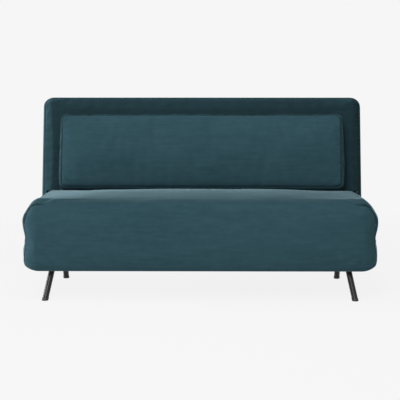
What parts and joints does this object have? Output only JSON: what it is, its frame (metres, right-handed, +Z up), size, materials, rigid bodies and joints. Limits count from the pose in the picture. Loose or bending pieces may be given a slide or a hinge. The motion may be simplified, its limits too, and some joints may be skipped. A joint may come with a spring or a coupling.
{
  "type": "click clack sofa bed",
  "caption": "Armless two-seat sofa bed whose backrest clicks down level with the seat on ratchet hinges, with a loose lumbar cushion and splayed tube legs.",
  "frame": {"origin": "on the floor, under the middle of the sofa's bounding box", "axes": "+X runs along the sofa to the right as seen from the front; the front faces -Y; +Z is up"},
  "size_m": [1.43, 0.8833, 0.7925],
  "materials": {
    "velvet": "short-pile velvet, dark teal",
    "foam": "open-cell foam",
    "filling": "polyester fibre",
    "timber": "planed softwood",
    "felt": "needled felt",
    "black_cloth": "non-woven cloth",
    "black_steel": "dark powder coat",
    "zinc_steel": "bright zinc",
    "spring_steel": "oiled wire",
    "black_plastic": "moulded"
  },
  "bodies": {
    "seat": {"seat_front_rail": "timber", "seat_rear_rail": "timber", "seat_side_rail_left": "timber", "seat_side_rail_right": "timber", "seat_centre_rail": "timber", "corner_board_front_left": "timber", "corner_board_front_right": "timber", "corner_board_rear_left": "timber", "corner_board_rear_right": "timber", "dust_cover": "black_cloth", "leg_front_left": "black_steel", "leg_front_right": "black_steel", "leg_rear_left": "black_steel", "leg_rear_right": "black_steel", "foot_cap_front_left": "black_plastic", "foot_cap_front_right": "black_plastic", "foot_cap_rear_left": "black_plastic", "foot_cap_rear_right": "black_plastic", "seat_spring_1": "spring_steel", "seat_spring_2": "spring_steel", "seat_spring_3": "spring_steel", "seat_spring_4": "spring_steel", "seat_spring_5": "spring_steel", "seat_felt_pad": "felt", "seat_foam": "foam", "seat_cover": "velvet", "hinge_inner_cheek_left": "black_steel", "hinge_inner_cheek_right": "black_steel", "hinge_outer_cheek_left": "black_steel", "hinge_outer_cheek_right": "black_steel", "hinge_pivot_left": "zinc_steel", "hinge_pivot_right": "zinc_steel", "pawl_spring_left": "spring_steel", "pawl_spring_right": "spring_steel"},
    "backrest": {"ratchet_arm_left": "black_steel", "ratchet_arm_right": "black_steel", "back_stile_left": "timber", "back_stile_right": "timber", "back_top_rail": "timber", "back_bottom_rail": "timber", "back_centre_post": "timber", "back_support_cloth": "black_cloth", "back_foam": "foam", "back_cover": "velvet", "back_panel": "black_cloth", "stand_bracket_left": "black_steel", "stand_bracket_right": "black_steel", "stand_clip": "black_plastic"},
    "stand": {"stand_leg_left": "black_steel", "stand_leg_right": "black_steel", "stand_cap_left": "black_plastic", "stand_cap_right": "black_plastic", "stand_crossbar": "black_steel"},
    "cushion": {"cushion_cover": "velvet", "cushion_filling": "filling", "cushion_zip": "black_cloth"},
    "pawl_left": {"pawl_left": "zinc_steel"},
    "pawl_right": {"pawl_right": "zinc_steel"}
  },
  "joints": [
    {"name": "back_recline", "type": "hinge", "parent": "seat", "child": "backrest", "pos_m": [0, 0.26336, 0.331], "axis": [-1, 0, 0], "range_deg": [0, 76]},
    {"name": "stand_fold", "type": "hinge", "parent": "backrest", "child": "stand", "pos_m": [0, 0.42845, 0.6691], "axis": [1, 0, 0], "range_deg": [0, 90]},
    {"name": "cushion_lift", "type": "slide", "parent": "backrest", "child": "cushion", "axis": [0, 0.2419, 0.9703], "range_m": [0, 0.42]},
    {"name": "pawl_left_swing", "type": "hinge", "parent": "seat", "child": "pawl_left", "pos_m": [0, 0.20691, 0.32307], "axis": [1, 0, 0], "range_deg": [0, 15]},
    {"name": "pawl_right_swing", "type": "hinge", "parent": "seat", "child": "pawl_right", "pos_m": [0, 0.20691, 0.32307], "axis": [1, 0, 0], "range_deg": [0, 15]}
  ]
}
